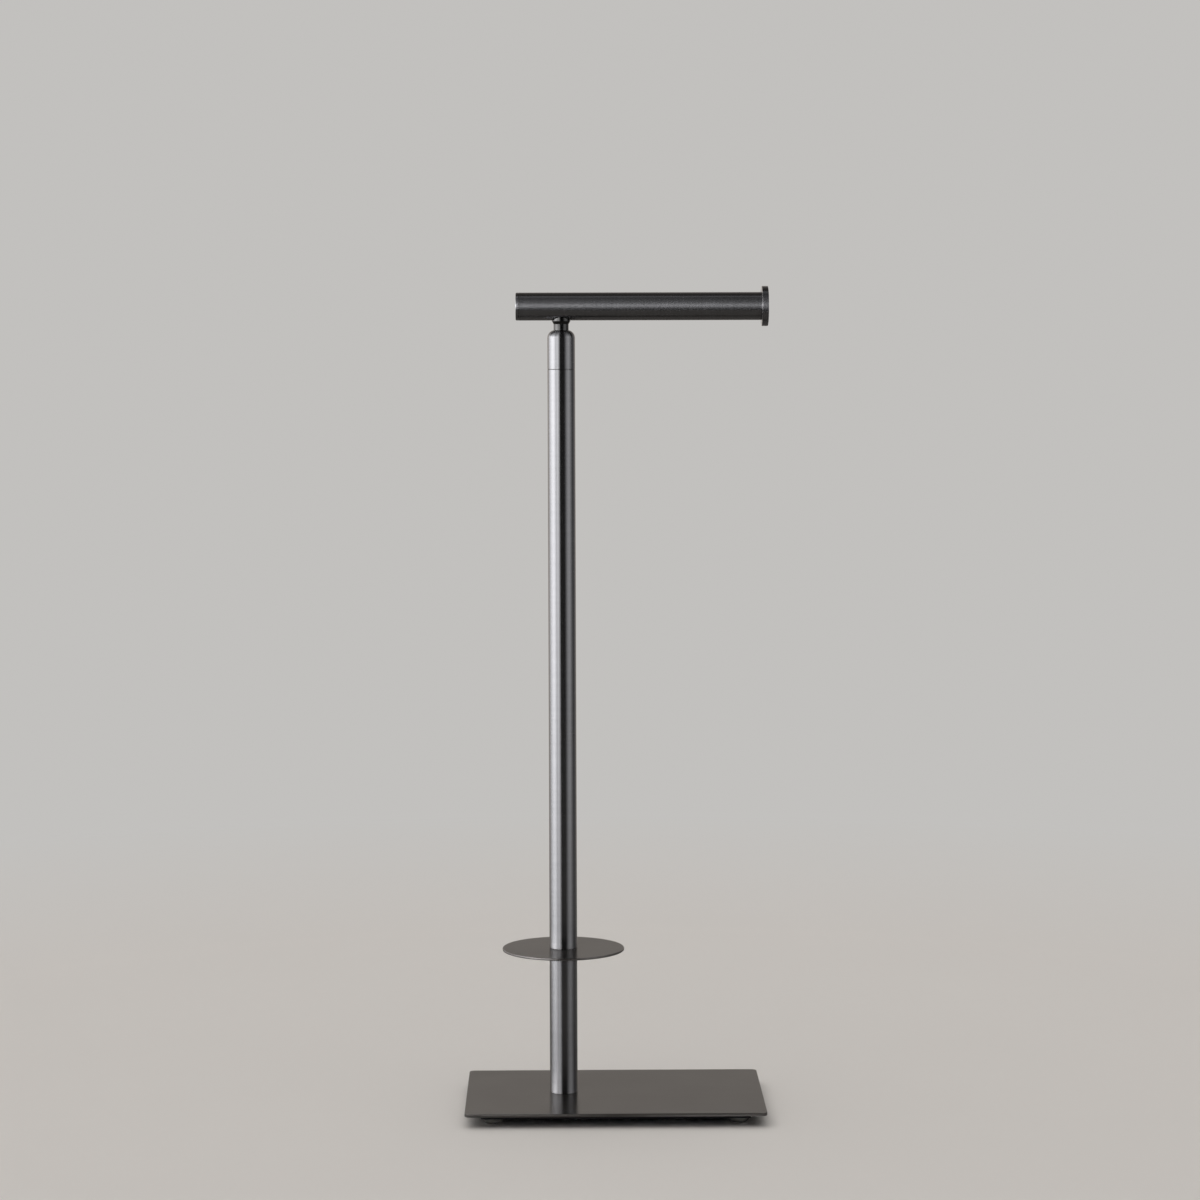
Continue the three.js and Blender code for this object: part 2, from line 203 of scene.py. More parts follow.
def turned(name, section, centre=(0, 0, 0), along="Z", steps=ROUND_STEPS):
    """Spins a section into a closed solid. A ring's section is closed first."""
    starts_on_axis = section[0][0] == 0 and section[-1][0] == 0
    outline = section if starts_on_axis else [*section, section[0]]
    piece = drawn_section(name, outline)
    bpy.ops.mesh.select_all(action="SELECT")
    bpy.ops.mesh.remove_doubles(threshold=0.001 * MM)
    bpy.ops.mesh.select_all(action="SELECT")
    bpy.ops.mesh.spin(
        steps=steps, angle=2 * math.pi, center=(0, 0, 0), axis=(0, 0, 1), use_auto_merge=True
    )
    bpy.ops.mesh.select_all(action="SELECT")
    bpy.ops.mesh.remove_doubles(threshold=0.001 * MM)
    bpy.ops.mesh.normals_make_consistent(inside=False)
    return place(piece, centre, along)


def arc(centre, radius, start_degrees, end_degrees, steps):
    """Points of a round stretch of a section."""
    out, up = centre
    points = []
    for i in range(steps + 1):
        angle = math.radians(start_degrees + (end_degrees - start_degrees) * i / steps)
        points.append((out + radius * math.cos(angle), up + radius * math.sin(angle)))
    return points


def rod(name, radius, length, centre, sides=64):
    """A plain upright bar, only ever used as a cutter."""
    piece = start(
        name, bpy.ops.mesh.primitive_cylinder_add, vertices=sides, radius=radius, depth=length
    )
    return place(piece, centre)


def drawn_tube(name, radius, wall, length, centre, along="Z"):
    """A cylinder whose ends are inset by the wall and bridged into an open bore."""
    piece = start(
        name,
        bpy.ops.mesh.primitive_cylinder_add,
        vertices=ROUND_STEPS,
        radius=radius,
        depth=length,
    )
    pick(piece, "FACE", lambda face: abs(face.normal.z) > 0.9)
    bpy.ops.mesh.inset(thickness=wall)
    bpy.ops.mesh.bridge_edge_loops()
    bpy.ops.mesh.select_all(action="SELECT")
    bpy.ops.mesh.normals_make_consistent(inside=False)
    return place(piece, centre, along)


# %% [markdown]
# ## Finishing a piece
#
# A finished piece shades smoothly across its round faces and breaks at its real
# edges. It then rides on a body of the engineering model, takes the place of one
# engineering piece, and is given its material.

# %% Handing a piece over
made = []


def hand_over(piece, node, material):
    """Shades, dresses and registers a piece in place of the node of the same job."""
    clear_bench()
    bpy.context.view_layer.objects.active = piece
    piece.select_set(True)
    bpy.ops.object.shade_smooth_by_angle(angle=math.radians(SMOOTH_BELOW))
    apply_modifier(piece, "WEIGHTED_NORMAL", keep_sharp=True)
    piece.data.materials.clear()
    piece.data.materials.append(material)
    body = next(b for b, nodes in bodies.items() if node in nodes)
    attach(piece, body)
    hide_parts(node)
    made.append(piece.name)
    dims = " x ".join(f"{v / MM:.1f}" for v in piece.dimensions)
    print(f"{piece.name}: {dims} mm, {len(piece.data.polygons)} faces, on {body}")


def copy_of(piece, name, shift):
    """A copy with its own mesh, moved within that mesh."""
    twin = piece.copy()
    twin.data = piece.data.copy()
    twin.name = name
    twin.data.name = name
    bpy.context.collection.objects.link(twin)
    twin.data.transform(Matrix.Translation(shift))
    return twin


def hand_over_all(piece, nodes, finish_word, material):
    """Copies the first node's piece to the places of the others, and hands all over."""
    pieces = [piece]
    for node in nodes[1:]:
        shift = middle(node) - middle(nodes[0])
        pieces.append(copy_of(piece, f"{node}_{finish_word}", shift))
    for each, node in zip(pieces, nodes):
        hand_over(each, node, material)


bodies = frame["record"]["behaviour"]["bodies"]

# %% [markdown]
# ## Shared surface effects
#
# Three effects turn up on nearly every surface, so each is a node group: the
# fine lines that a brushing belt leaves, the faint cloudiness of handling and
# cleaning, and the bright line where a coating has rubbed thin on an edge. The
# groups give out only values, and each material decides what to do with them.

# %% Node group tools
def new_group(name, inputs, outputs):
    """An empty shader node group with float or vector sockets."""
    group = bpy.data.node_groups.new(name, "ShaderNodeTree")
    for label, kind, default in inputs:
        socket = group.interface.new_socket(name=label, in_out="INPUT", socket_type=kind)
        if default is not None:
            socket.default_value = default
    for label, kind in outputs:
        group.interface.new_socket(name=label, in_out="OUTPUT", socket_type=kind)
    return group, group.nodes.new("NodeGroupInput"), group.nodes.new("NodeGroupOutput")


def math_node(tree, operation, first, second=None):
    """A Math node wired to sockets or set to numbers."""
    node = tree.nodes.new("ShaderNodeMath")
    node.operation = operation
    for socket, value in zip(node.inputs, (first, second)):
        if isinstance(value, bpy.types.NodeSocket):
            tree.links.new(value, socket)
        elif value is not None:
            socket.default_value = value
    return node.outputs[0]


def remap(tree, value, from_low, from_high, to_low, to_high):
    """A clamped Map Range."""
    node = tree.nodes.new("ShaderNodeMapRange")
    tree.links.new(value, node.inputs["Value"])
    limits = {"From Min": from_low, "From Max": from_high, "To Min": to_low, "To Max": to_high}
    for key, number in limits.items():
        if isinstance(number, bpy.types.NodeSocket):
            tree.links.new(number, node.inputs[key])
        else:
            node.inputs[key].default_value = number
    return node.outputs["Result"]


def noise(tree, vector, scale, detail=3.0, roughness=0.55):
    """A noise texture's value."""
    node = tree.nodes.new("ShaderNodeTexNoise")
    tree.links.new(vector, node.inputs["Vector"])
    if isinstance(scale, bpy.types.NodeSocket):
        tree.links.new(scale, node.inputs["Scale"])
    else:
        node.inputs["Scale"].default_value = scale
    node.inputs["Detail"].default_value = detail
    node.inputs["Roughness"].default_value = roughness
    return node.outputs["Fac"]


# %% Brushing: fine lines and broader streaks
def make_brushing():
    group, given, out = new_group(
        "brushing",
        [("Vector", "NodeSocketVector", None), ("Streaks", "NodeSocketFloat", 0.35)],
        [("Lines", "NodeSocketFloat"), ("Tone", "NodeSocketFloat")],
    )
    fine = noise(group, given.outputs["Vector"], 1.0, detail=4.0, roughness=0.75)
    broad = noise(group, given.outputs["Vector"], 0.11, detail=2.0)
    streaks = math_node(group, "MULTIPLY", broad, given.outputs["Streaks"])
    both = math_node(group, "ADD", fine, streaks)
    lines = remap(group, both, 0.3, 0.95, 0.0, 1.0)
    tone = remap(group, broad, 0.3, 0.7, 0.0, 1.0)
    group.links.new(lines, out.inputs["Lines"])
    group.links.new(tone, out.inputs["Tone"])
    return group


# %% Handling: soft clouds and small smears
def make_handling():
    group, given, out = new_group(
        "handling",
        [("Vector", "NodeSocketVector", None), ("Size", "NodeSocketFloat", 18.0)],
        [("Clouds", "NodeSocketFloat"), ("Smears", "NodeSocketFloat")],
    )
    clouds = noise(group, given.outputs["Vector"], given.outputs["Size"], detail=5.0)
    finer = math_node(group, "MULTIPLY", given.outputs["Size"], 7.0)
    spots = noise(group, given.outputs["Vector"], finer, detail=3.0)
    clouded = remap(group, clouds, 0.35, 0.68, 0.0, 1.0)
    smeared = math_node(group, "MULTIPLY", remap(group, spots, 0.48, 0.7, 0.0, 1.0), clouded)
    group.links.new(clouded, out.inputs["Clouds"])
    group.links.new(smeared, out.inputs["Smears"])
    return group


# %% Edge rub: where a rounded edge faces away from its neighbours
def make_edge_rub():
    group, given, out = new_group(
        "edge_rub",
        [("Radius", "NodeSocketFloat", 0.0006), ("Breakup", "NodeSocketFloat", 0.5)],
        [("Mask", "NodeSocketFloat")],
    )
    rounded = group.nodes.new("ShaderNodeBevel")
    rounded.samples = 4
    group.links.new(given.outputs["Radius"], rounded.inputs["Radius"])
    true = group.nodes.new("ShaderNodeNewGeometry")
    dot = group.nodes.new("ShaderNodeVectorMath")
    dot.operation = "DOT_PRODUCT"
    group.links.new(rounded.outputs["Normal"], dot.inputs[0])
    group.links.new(true.outputs["Normal"], dot.inputs[1])
    edge = remap(group, dot.outputs["Value"], 0.995, 0.9, 0.0, 1.0)
    place_in_object = group.nodes.new("ShaderNodeTexCoord")
    patchy = noise(group, place_in_object.outputs["Object"], 160.0, detail=4.0)
    kept = remap(group, patchy, given.outputs["Breakup"], 0.75, 0.35, 1.0)
    group.links.new(math_node(group, "MULTIPLY", edge, kept), out.inputs["Mask"])
    return group


BRUSHING = make_brushing()
HANDLING = make_handling()
EDGE_RUB = make_edge_rub()
print("groups", BRUSHING.name, HANDLING.name, EDGE_RUB.name)


# %% Material tools
def new_material(name, **sockets):
    """A Principled material with its constants set on the shader itself."""
    material = bpy.data.materials.new(name)
    material.use_nodes = True
    tree = material.node_tree
    shader = tree.nodes["Principled BSDF"]
    for key, value in sockets.items():
        shader.inputs[key.replace("_", " ")].default_value = value
    return material, tree, shader


def object_place(tree, scale=(1, 1, 1)):
    """Object coordinates, stretched by a Mapping node."""
    source = tree.nodes.new("ShaderNodeTexCoord").outputs["Object"]
    if tuple(scale) == (1, 1, 1):
        return source
    mapping = tree.nodes.new("ShaderNodeMapping")
    mapping.inputs["Scale"].default_value = scale
    tree.links.new(source, mapping.inputs["Vector"])
    return mapping.outputs["Vector"]


def use_group(tree, group, vector=None, **values):
    """Places a shared effect in a material with its own values."""
    node = tree.nodes.new("ShaderNodeGroup")
    node.node_tree = group
    if vector is not None:
        tree.links.new(vector, node.inputs["Vector"])
    for key, value in values.items():
        node.inputs[key].default_value = value
    return node.outputs


def blend_colours(tree, factor, first, second):
    """A Mix node between two colours, each a tuple or a socket."""
    node = tree.nodes.new("ShaderNodeMix")
    node.data_type = "RGBA"
    tree.links.new(factor, node.inputs["Factor"])
    sockets = [s for s in node.inputs if s.type == "RGBA"]
    for socket, value in zip(sockets, (first, second)):
        if isinstance(value, bpy.types.NodeSocket):
            tree.links.new(value, socket)
        else:
            socket.default_value = (*value, 1)
    return next(s for s in node.outputs if s.type == "RGBA")


def add_bump(tree, shader, height, strength, distance):
    """Feeds a height through a Bump node to the shader's normal."""
    bump = tree.nodes.new("ShaderNodeBump")
    bump.inputs["Strength"].default_value = strength
    bump.inputs["Distance"].default_value = distance
    tree.links.new(height, bump.inputs["Height"])
    tree.links.new(bump.outputs["Normal"], shader.inputs["Normal"])


# %% [markdown]
# ## The brushed grey coating
#
# Brushing scratches steel in one direction. Light then spreads across the
# scratches and stays sharp along them: round a tube the bands of light and dark
# are crisp from side to side and melt together from end to end. An anisotropic
# shader does this spreading, and a height made of very long, thin noise gives the
# scratches themselves. On tubes the lines run round, on the plate and the tray
# they run straight from left to right.

# %% Brushed grey steel
WARM = (0.224, 0.212, 0.200)
NEUTRAL = (0.218, 0.215, 0.217)
DEEP_SHARE = 0.92
BARE_EDGE = (0.42, 0.40, 0.38)
LINE_PITCH = 0.22 * MM
LINE_LENGTH = 14 * MM
SCRATCH_DEPTH = 0.004 * MM
QUARTER_TURN = 0.25
SMOOTHER, ROUGHER = 0.03, 0.02
CLOUD_DULLING, SMEAR_DULLING = 0.01, 0.006


def brushed(name, lines, colour, roughness, anisotropy, bump=0.12):
    """lines: 'round Z' or 'round X' for a turned piece, 'straight X' for a flat one."""
    material, tree, shader = new_material(name, Metallic=1.0, Anisotropic=anisotropy)
    across = 1 / LINE_PITCH
    along = 1 / LINE_LENGTH
    stretch = {
        "round Z": (along, along, across),
        "round X": (across, along, along),
        "straight X": (along, across, across),
    }[lines]
    tangent = tree.nodes.new("ShaderNodeTangent")
    tangent.direction_type = "RADIAL"
    tangent.axis = {"round Z": "Z", "round X": "X", "straight X": "Y"}[lines]
    tree.links.new(tangent.outputs["Tangent"], shader.inputs["Tangent"])
    shader.inputs["Anisotropic Rotation"].default_value = QUARTER_TURN
    marks = use_group(tree, BRUSHING, object_place(tree, stretch))
    wear = use_group(tree, HANDLING, object_place(tree), Size=22.0)
    rub = use_group(tree, EDGE_RUB)
    deep = tuple(DEEP_SHARE * channel for channel in colour)
    toned = blend_colours(tree, marks["Tone"], deep, colour)
    worn = blend_colours(tree, rub["Mask"], toned, BARE_EDGE)
    tree.links.new(worn, shader.inputs["Base Color"])
    smooth, rough = roughness - SMOOTHER, roughness + ROUGHER
    polish = remap(tree, marks["Lines"], 0.0, 1.0, smooth, rough)
    handled = math_node(tree, "MULTIPLY", wear["Clouds"], CLOUD_DULLING)
    smeared = math_node(tree, "MULTIPLY", wear["Smears"], SMEAR_DULLING)
    dulled = math_node(tree, "ADD", math_node(tree, "ADD", polish, handled), smeared)
    tree.links.new(dulled, shader.inputs["Roughness"])
    add_bump(tree, shader, marks["Lines"], bump, SCRATCH_DEPTH)
    return material


TUBE_FINISH = brushed("brushed_grey_round_post", "round Z", NEUTRAL, 0.25, 0.99)
ARM_FINISH = brushed("brushed_grey_round_arm", "round X", NEUTRAL, 0.25, 0.99, bump=0.08)
END_FINISH = brushed("brushed_grey_turned_ends", "round X", NEUTRAL, 0.25, 0.97, bump=0.05)
PLATE_FINISH = brushed("brushed_grey_plate", "straight X", WARM, 0.30, 0.85)
TRAY_FINISH = brushed("brushed_grey_tray", "straight X", WARM, 0.30, 0.85)
print("brushed finishes ready")

# %% [markdown]
# ## The other finishes
#
# The neck is the one polished piece: a glossy metal with barely visible turning
# rings. Its very dark colour is partly the steel's own dark tone and partly painted
# shade for the dim light it gets under the arm. The weight below is stamped steel
# in black paint, whose skin has a slight orange peel. The feet are clear rubber,
# which lets the light of the floor through. Black rubber, nylon, zinc and plain
# machined steel are only seen from below or when the head is lifted off, and still
# get their own grain.

# %% Polished neck
# Very dark neck colours: partly the steel's own tone, partly painted shade for the dim light
# under the arm.
NECK_DARK_AND_PAINTED_SHADE = (0.056, 0.055, 0.053)
NECK_CLOUD_AND_PAINTED_SHADE = (0.045, 0.0435, 0.042)
POLISHED_FROM, POLISHED_TO = 0.13, 0.2
FINGER_MARKS = 0.08
RING_STRETCH = (90, 90, 6000)


def polished_steel_with_painted_shade():
    material, tree, shader = new_material("polished_neck_steel_painted_shade", Metallic=1.0)
    rings = use_group(tree, BRUSHING, object_place(tree, RING_STRETCH))
    wear = use_group(tree, HANDLING, object_place(tree), Size=90.0)
    # Base colour: the dark neck tone with its painted shade, clouded by handling.
    cloudy = blend_colours(tree, wear["Clouds"], NECK_DARK_AND_PAINTED_SHADE, NECK_CLOUD_AND_PAINTED_SHADE)
    tree.links.new(cloudy, shader.inputs["Base Color"])
    fine = remap(tree, rings["Lines"], 0.0, 1.0, POLISHED_FROM, POLISHED_TO)
    marked = math_node(tree, "MULTIPLY", wear["Smears"], FINGER_MARKS)
    dulled = math_node(tree, "ADD", fine, marked)
    tree.links.new(dulled, shader.inputs["Roughness"])
    add_bump(tree, shader, rings["Lines"], 0.12, 0.002 * MM)
    return material


# %% Black paint, black rubber and nylon
GRAIN_BUMP = 0.4
GRAIN_SPREAD = 0.05


def grained(name, colour, lighter, roughness, grain_size, depth, **sockets):
    """A non-metal with a fine grain: paint, rubber or nylon."""
    material, tree, shader = new_material(name, **sockets)
    grain = noise(tree, object_place(tree), 1 / grain_size, detail=4.0)
    wear = use_group(tree, HANDLING, object_place(tree), Size=40.0)
    rub = use_group(tree, EDGE_RUB)
    cloudy = blend_colours(tree, wear["Clouds"], colour, lighter)
    edge = tuple(min(1.0, channel * 1.6 + 0.02) for channel in lighter)
    tree.links.new(blend_colours(tree, rub["Mask"], cloudy, edge), shader.inputs["Base Color"])
    smooth, rough = roughness - GRAIN_SPREAD, roughness + GRAIN_SPREAD
    fine = remap(tree, grain, 0.3, 0.7, smooth, rough)
    uneven = math_node(tree, "ADD", fine, math_node(tree, "MULTIPLY", wear["Smears"], 0.1))
    tree.links.new(uneven, shader.inputs["Roughness"])
    add_bump(tree, shader, grain, GRAIN_BUMP, depth)
    return material


# %% Clear soft rubber
CLEAR_HAZE = (0.80, 0.80, 0.78)
CLEAR_CLOUD = (0.70, 0.70, 0.67)


def clear_rubber():
    """Cast clear rubber: light goes through it, softened by a faint skin and some haze."""
    material, tree, shader = new_material(
        "clear_bumper_rubber", IOR=1.5, Metallic=0.0, Transmission_Weight=0.6
    )
    skin = noise(tree, object_place(tree), 900.0, detail=4.0)
    wear = use_group(tree, HANDLING, object_place(tree), Size=150.0)
    haze = blend_colours(tree, wear["Clouds"], CLEAR_HAZE, CLEAR_CLOUD)
    tree.links.new(haze, shader.inputs["Base Color"])
    fine = remap(tree, skin, 0.3, 0.7, 0.08, 0.16)
    uneven = math_node(tree, "ADD", fine, math_node(tree, "MULTIPLY", wear["Smears"], 0.1))
    tree.links.new(uneven, shader.inputs["Roughness"])
    add_bump(tree, shader, skin, 0.15, 0.01 * MM)
    return material


# %% Zinc plate and machined steel
METAL_SPREAD = 0.06


def workshop_metal(name, colour, tint, roughness, stretch):
    """Plain fastener metal with turning marks and a patchy plated tint."""
    material, tree, shader = new_material(name, Metallic=1.0)
    marks = use_group(tree, BRUSHING, object_place(tree, stretch))
    wear = use_group(tree, HANDLING, object_place(tree), Size=120.0)
    tinted = blend_colours(tree, wear["Clouds"], colour, tint)
    tree.links.new(tinted, shader.inputs["Base Color"])
    smooth, rough = roughness - METAL_SPREAD, roughness + METAL_SPREAD
    fine = remap(tree, marks["Lines"], 0.0, 1.0, smooth, rough)
    tree.links.new(fine, shader.inputs["Roughness"])
    add_bump(tree, shader, marks["Lines"], 0.3, 0.006 * MM)
    return material


NECK_FINISH = polished_steel_with_painted_shade()
BUMPER = clear_rubber()
PAINT = grained(
    "black_ballast_paint",
    (0.008, 0.008, 0.009),
    (0.012, 0.012, 0.013),
    0.55,
    1.2 * MM,
    0.03 * MM,
    Specular_IOR_Level=0.2,
)
RING_RUBBER = grained(
    "black_ring_rubber", (0.012, 0.012, 0.012), (0.02, 0.02, 0.02), 0.5, 0.2 * MM, 0.01 * MM
)
NYLON = grained(
    "natural_nylon", (0.70, 0.68, 0.61), (0.74, 0.72, 0.66), 0.5, 0.4 * MM, 0.01 * MM
)
ZINC = workshop_metal(
    "bright_zinc", (0.62, 0.63, 0.66), (0.58, 0.57, 0.52), 0.3, (300, 300, 3000)
)
MACHINED = workshop_metal(
    "machined_steel", (0.50, 0.50, 0.50), (0.44, 0.44, 0.43), 0.38, (200, 200, 3000)
)
print("finishes", len(bpy.data.materials))

# %% [markdown]
# ## The base plate
#
# A laser-cut plate: a box at full size whose four upright edges are rounded in
# edit mode, then every rim is broken very slightly, so that it catches a thin
# line of light. A drawn outline could be extruded instead, but a box is quicker
# and its size comes straight from the engineering piece. The hole under the post
# is cut with a rod.

# %% Model the base plate
PLATE_CORNER = 5 * MM
STUD_RADIUS = 4 * MM
STUD_HOLE = STUD_RADIUS + GAP
PLATE_EDGE = 0.3 * MM
PLATE_CUTTER = 20 * MM


def rounded_plate(name, node, corner):
    """A box the size of a node with rounded upright corners."""
    piece = start(name, bpy.ops.mesh.primitive_cube_add, size=1)
    piece.scale = size(node)
    place(piece, middle(node))
    half = size(node).z / 2
    pick(piece, "EDGE", lambda edge: abs((edge.verts[0].co - edge.verts[1].co).z) > half)
    bpy.ops.mesh.bevel(offset=corner, segments=10, affect="EDGES")
    bpy.ops.object.mode_set(mode="OBJECT")
    return piece


base_plate = rounded_plate("plate_brushed", "base_plate", PLATE_CORNER)
plate_hole_at = (POST.x, POST.y, middle("base_plate").z)
cut_away(base_plate, rod("hole", STUD_HOLE, PLATE_CUTTER, plate_hole_at))
soften(base_plate, PLATE_EDGE)
hand_over(base_plate, "base_plate", PLATE_FINISH)

# %% [markdown]
# ## The ballast
#
# The weight is a second, thicker plate, set in all round so that the thin plate
# seems to float. It has an opening for the post's bolt and four countersinks. They
# are cut with a rod and with a turned cutter of the screw's own shape.

# %% Model the ballast
SCREWS = [f"ballast_screw_{i}" for i in range(1, 5)]
SCREW_HEAD = size("ballast_screw_1").x / 2
SCREW_SHANK = 2 * MM
SCREW_CONE = 2.4 * MM
BALLAST_CORNER = 3 * MM
BALLAST_CUTTER = 30 * MM
ABOVE_BALLAST = 9 * MM
BELOW_BALLAST = 1 * MM

ballast = rounded_plate("ballast_black", "ballast_plate", BALLAST_CORNER)
under = low("ballast_plate").z
pocket_radius = size("post_bolt_washer").x / 2 + GAP
cut_away(ballast, rod("pocket", pocket_radius, BALLAST_CUTTER, (POST.x, POST.y, under)))
for screw in SCREWS:
    sink = turned(
        "sink",
        [
            (0, -BELOW_BALLAST),
            (SCREW_HEAD + GAP, -BELOW_BALLAST),
            (SCREW_HEAD + GAP, GAP),
            (SCREW_SHANK + GAP, SCREW_CONE + GAP),
            (SCREW_SHANK + GAP, ABOVE_BALLAST),
            (0, ABOVE_BALLAST),
        ],
        (middle(screw).x, middle(screw).y, under),
        steps=48,
    )
    cut_away(ballast, sink)
soften(ballast, PLATE_EDGE, segments=2)
hand_over(ballast, "ballast_plate", PAINT)

# %% [markdown]
# ## The ballast's screws
#
# Four countersunk screws are alike, so one is turned, its key hole is cut, and it
# is copied to the other places. The thread is hidden in the plate, so the shank is
# left plain.

# %% One screw, copied to the four places
def hex_cutter(name, across, depth, at):
    """A six-sided key's shape."""
    return rod(name, across / math.sqrt(3), depth, at, sides=6)


SCREW_KEY = 2.5 * MM
SCREW_KEY_CUT = 2.8 * MM
SCREW_RIM = 0.2 * MM
SCREW_TIP = 0.4 * MM
first = SCREWS[0]
screw_low = low(first).z
screw_high = high(first).z
screw_piece = turned(
    "ballast_screw_1_zinc",
    [
        (0, screw_low),
        (SCREW_HEAD - 0.3 * MM, screw_low),
        (SCREW_HEAD, screw_low + SCREW_RIM),
        (SCREW_SHANK, under + SCREW_CONE),
        (SCREW_SHANK, screw_high - SCREW_TIP),
        (SCREW_SHANK - SCREW_TIP, screw_high),
        (0, screw_high),
    ],
    (middle(first).x, middle(first).y, 0),
    steps=64,
)
key_at = (middle(first).x, middle(first).y, screw_low)
cut_away(screw_piece, hex_cutter("key", SCREW_KEY, SCREW_KEY_CUT, key_at))
hand_over_all(screw_piece, SCREWS, "zinc", ZINC)

# %% [markdown]
# ## The feet
#
# Four domed bumpers of clear soft rubber. A bevelled cylinder would give the
# outside alone, so half of the section is drawn and spun: a flat sole with a
# shallow ring moulded into it, which stops it sticking to a wet floor, and one
# large round up to the rim.

# %% Model one foot and copy it
FEET = [f"foot_{i}" for i in range(1, 5)]
foot_radius = size("foot_1").x / 2
foot_height = size("foot_1").z
FOOT_ROUND = 4.6 * MM
FOOT_RIM = 0.1 * MM
RING_DEPTH = 0.3 * MM
foot_section = [
    (0, 0),
    (2.2 * MM, 0),
    (2.5 * MM, RING_DEPTH),
    (3.3 * MM, RING_DEPTH),
    (3.6 * MM, 0),
    *arc((foot_radius - FOOT_ROUND, FOOT_ROUND), FOOT_ROUND, -90, 0, 16),
    (foot_radius, foot_height - FOOT_RIM),
    (foot_radius - FOOT_RIM, foot_height),
    (0, foot_height),
]
foot_at = (middle("foot_1").x, middle("foot_1").y, low("foot_1").z)
foot_piece = turned("foot_1_rubber", foot_section, foot_at, steps=64)
hand_over_all(foot_piece, FEET, "rubber", BUMPER)

# %% [markdown]
# ## The bolt under the post
#
# A cap screw pulls the post down through the plate. Only its head and washer
# show, in the opening on the underside. Both are turned on the lathe, and the
# socket in the head is cut with a six-sided key.

# %% Model the bolt and washer
HEAD_CHAMFER = 0.5 * MM
TIP_CHAMFER = 0.6 * MM
SOCKET_SHARE = 1.3


def cap_screw(name, node, shank_radius, head_height, key):
    """A socket cap screw along +Z with its head down, on the post's axis."""
    bottom, top = low(node).z, high(node).z
    head_radius = size(node).x / 2
    piece = turned(
        name,
        [
            (0, bottom),
            (head_radius - HEAD_CHAMFER, bottom),
            (head_radius, bottom + HEAD_CHAMFER),
            (head_radius, bottom + head_height),
            (shank_radius, bottom + head_height),
            (shank_radius, top - TIP_CHAMFER),
            (shank_radius - TIP_CHAMFER, top),
            (0, top),
        ],
        (POST.x, POST.y, 0),
        steps=64,
    )
    socket = hex_cutter("key", key, head_height * SOCKET_SHARE, (POST.x, POST.y, bottom))
    cut_away(piece, socket)
    return piece


BOLT_KEY = 5 * MM
bolt_head_height = low("post_bolt_washer").z - low("post_bolt").z
bolt = cap_screw("post_bolt_zinc", "post_bolt", STUD_RADIUS, bolt_head_height, BOLT_KEY)
hand_over(bolt, "post_bolt", ZINC)


# %% A flat ring: the washer, and later the tray
def flat_ring(name, node, inner, edge, steps, segments):
    """A ring as wide and thick as a node, round the post, with softened edges."""
    outer = size(node).x / 2
    bottom, top = low(node).z, high(node).z
    section = [(inner, bottom), (outer, bottom), (outer, top), (inner, top)]
    piece = turned(name, section, (POST.x, POST.y, 0), steps=steps)
    soften(piece, edge, segments)
    return piece


washer = flat_ring(
    "post_bolt_washer_zinc", "post_bolt_washer", STUD_HOLE, 0.15 * MM, steps=64, segments=2
)
hand_over(washer, "post_bolt_washer", ZINC)

# %% [markdown]
# ## The two tubes of the post
#
# Drawn tube, cut square. A cylinder's two ends are inset by the wall and bridged,
# which opens the bore and keeps the wall even. The cut ends are rounded a little,
# so the joints with the plate, the tray and the head show as fine dark lines.

# %% Model the post
RIM = 0.4 * MM

for node in ("lower_tube", "upper_tube"):
    tube = drawn_tube(f"{node}_brushed", TUBE_RADIUS, WALL, size(node).z, middle(node))
    soften(tube, RIM)
    hand_over(tube, node, TUBE_FINISH)

# %% [markdown]
# ## The tray for spare rolls
#
# A thin disc clamped between the tubes. Its rim is well rounded, because a hand
# brushes past it and paper must not snag. It is the washer's shape in another size.

# %% Model the tray
tray = flat_ring(
    "tray_brushed", "spare_roll_tray", STUD_HOLE, 0.5 * MM, steps=192, segments=4
)
hand_over(tray, "spare_roll_tray", TRAY_FINISH)

# %% [markdown]
# ## The lift-off head
#
# One turned piece: the cap that carries on the line of the post, its rounded
# shoulder, and below the seam a hollow spigot with two grooves for rubber rings.
# The section goes round the outside and back through the bore, so the spin makes
# a closed shell with a real wall.

# %% Model the head cap
seam = high("upper_tube").z
cap_low, cap_high = low("head_cap").z, high("head_cap").z
SPIGOT = 9.2 * MM
SPIGOT_BORE = 7.2 * MM
SHOULDER = 7 * MM
SHOULDER_SWEEP = 76
SPIGOT_CHAMFER = 0.6 * MM
GROOVE = 1 * MM
GROOVE_PLAY = 0.2 * MM
NECK_RADIUS = 6.75 * MM
MOUTH = NECK_RADIUS + GAP
MOUTH_CHAMFER = 0.1 * MM
BUSH_SEAT = 6 * MM + GAP
BUSH_FLANGE = 1 * MM
web_low = low("neck_bush").z
web_top = high("neck_bush").z - BUSH_FLANGE
shoulder_from = cap_high - SHOULDER * math.sin(math.radians(SHOULDER_SWEEP))
shoulder = arc((TUBE_RADIUS - SHOULDER, shoulder_from), SHOULDER, 0, SHOULDER_SWEEP, 20)
RINGS = ["spigot_ring_1", "spigot_ring_2"]
grooves = []
for ring in RINGS:
    groove_low, groove_high = low(ring).z - GROOVE_PLAY, high(ring).z + GROOVE_PLAY
    grooves += [
        (SPIGOT, groove_low),
        (SPIGOT - GROOVE, groove_low),
        (SPIGOT - GROOVE, groove_high),
        (SPIGOT, groove_high),
    ]
